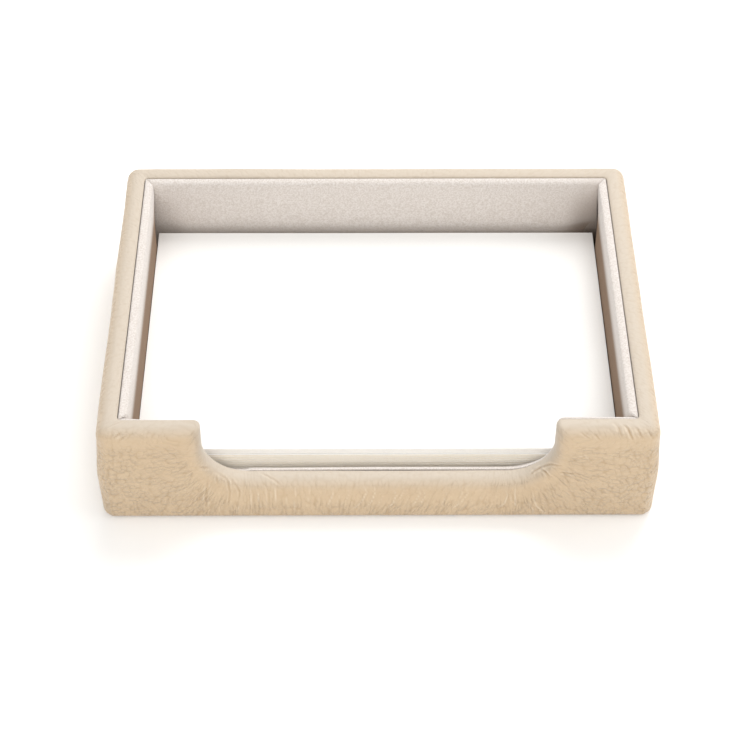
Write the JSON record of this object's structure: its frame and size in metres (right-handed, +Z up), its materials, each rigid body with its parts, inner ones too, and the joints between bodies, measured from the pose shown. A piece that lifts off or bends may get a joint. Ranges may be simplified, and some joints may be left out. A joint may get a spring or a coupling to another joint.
{
  "type": "memo tray",
  "caption": "Open desk tray with padded leather walls, a suede lining and a low thumb notch in front, holding a stack of loose memo sheets.",
  "frame": {"origin": "middle of the footprint, on the surface that the tray stands on", "axes": "+X to the right along the long side, +Y from the notched front wall to the back, +Z up"},
  "size_m": [0.1756, 0.1292, 0.0384],
  "materials": {
    "leather": "satin",
    "suede": "matte",
    "board": "matte",
    "card": "matte",
    "foam": "matte",
    "paper": "matte"
  },
  "bodies": {
    "tray": {"base_board": "board", "bottom_panel": "suede", "front_wall_board": "board", "back_wall_board": "board", "left_wall_board": "board", "right_wall_board": "board", "front_outer_foam": "foam", "back_outer_foam": "foam", "left_outer_foam": "foam", "right_outer_foam": "foam", "leather_cover": "leather", "front_lining_card": "card", "back_lining_card": "card", "left_lining_card": "card", "right_lining_card": "card", "front_lining_pad": "suede", "back_lining_pad": "suede", "left_lining_pad": "suede", "right_lining_pad": "suede", "floor_lining_card": "card", "floor_lining_pad": "suede"},
    "lower_sheets": {"lower_memo_sheets": "paper"},
    "upper_sheets": {"upper_memo_sheets": "paper"}
  },
  "joints": [
    {"name": "lower_sheets_lift", "type": "slide", "parent": "tray", "child": "lower_sheets", "axis": [0, 0, 1], "range_m": [0, 0.06]},
    {"name": "upper_sheets_lift", "type": "slide", "parent": "lower_sheets", "child": "upper_sheets", "axis": [0, 0, 1], "range_m": [0, 0.06]}
  ]
}
